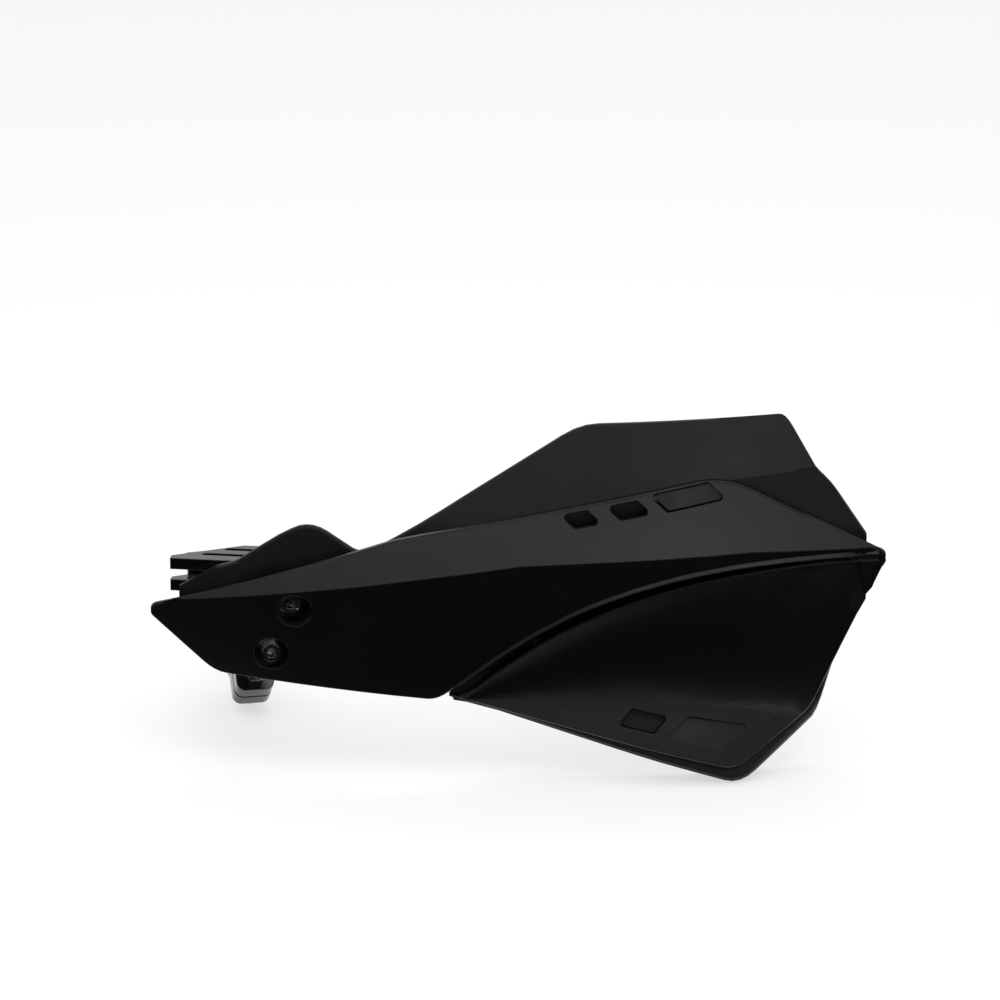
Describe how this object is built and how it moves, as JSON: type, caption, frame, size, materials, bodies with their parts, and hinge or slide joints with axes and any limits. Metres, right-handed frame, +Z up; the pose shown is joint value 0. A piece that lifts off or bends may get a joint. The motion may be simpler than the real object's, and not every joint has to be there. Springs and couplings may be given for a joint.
{
  "type": "motorcycle hand guard",
  "caption": "Open-ended motorcycle hand guard with an air-slotted front cover, a rear shell with wind deflector, and a ribbed bracket with a split handlebar clamp.",
  "frame": {"origin": "on the handlebar's axis, in the middle of the bar clamp", "axes": "+X to the open outboard end, +Y back towards the rider, +Z up; the front face looks to -Y and the bar axis is swept 12 degrees from +X towards +Y"},
  "size_m": [0.3246, 0.1521, 0.1606],
  "materials": {
    "cover_plastic": "satin-gloss black moulding",
    "shell_plastic": "fine-grained black moulding",
    "pad_plastic": "textured bare pad",
    "bracket_plastic": "black glass-filled moulding",
    "sleeve_rubber": "soft black rubber",
    "black_steel": "black-oxide steel",
    "zinc_steel": "bright zinc-plated steel",
    "insert_brass": "knurled brass insert"
  },
  "bodies": {
    "root": {"front_cover": "cover_plastic", "rear_shell": "shell_plastic", "badge_pad": "pad_plastic", "bracket_arm": "bracket_plastic", "clamp_cap": "bracket_plastic", "bar_sleeve_front": "sleeve_rubber", "bar_sleeve_rear": "sleeve_rubber", "cover_bolt_upper": "black_steel", "cover_bolt_lower": "black_steel", "cover_washer_upper": "black_steel", "cover_washer_lower": "black_steel", "threaded_insert_upper": "insert_brass", "threaded_insert_lower": "insert_brass", "clamp_bolt_upper": "black_steel", "clamp_bolt_lower": "black_steel", "clamp_washer_upper": "black_steel", "clamp_washer_lower": "black_steel", "clamp_nut_upper": "black_steel", "clamp_nut_lower": "black_steel", "shell_screw_inner": "zinc_steel", "shell_screw_middle": "zinc_steel", "shell_screw_centre": "zinc_steel", "shell_screw_outer": "zinc_steel", "strip_screw_inner": "zinc_steel", "strip_screw_outer": "zinc_steel", "strip_washer_inner": "zinc_steel", "strip_washer_outer": "zinc_steel"}
  },
  "joints": []
}
